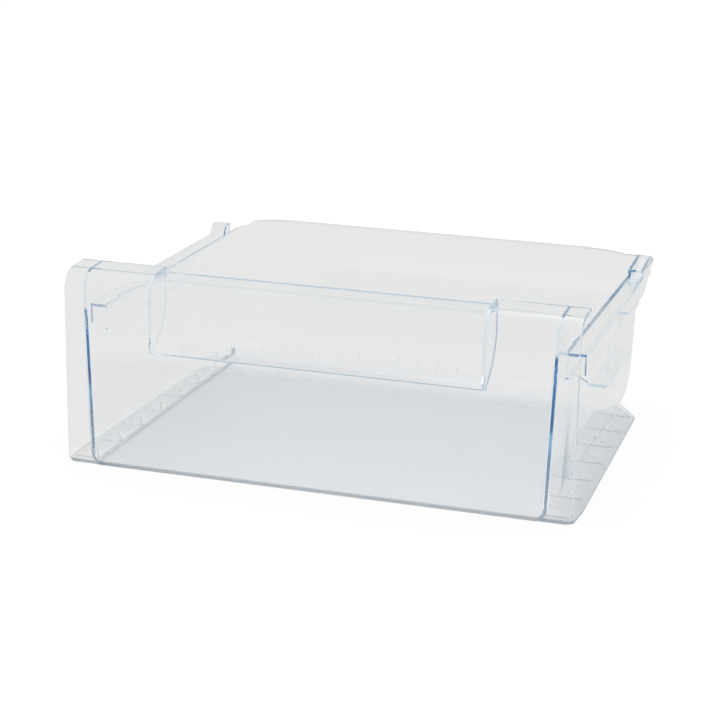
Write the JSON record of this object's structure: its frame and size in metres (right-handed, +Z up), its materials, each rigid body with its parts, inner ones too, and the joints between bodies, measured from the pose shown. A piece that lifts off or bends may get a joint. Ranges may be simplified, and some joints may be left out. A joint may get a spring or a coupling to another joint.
{
  "type": "fridge drawer",
  "caption": "Clear moulded fridge drawer: an open tub with a wide front panel, a scooped finger recess under a lip, side runners with end stops and ribbed foot flanges.",
  "frame": {"origin": "underside of the floor, in the middle of the front panel's width and half way between the front face and the back", "axes": "+X to the right seen from the front, +Y to the back, +Z up"},
  "size_m": [0.4519, 0.361, 0.17],
  "materials": {
    "clear_plastic": "clear, faintly blue, glossy"
  },
  "bodies": {
    "root": {"drawer": "clear_plastic"}
  },
  "joints": []
}
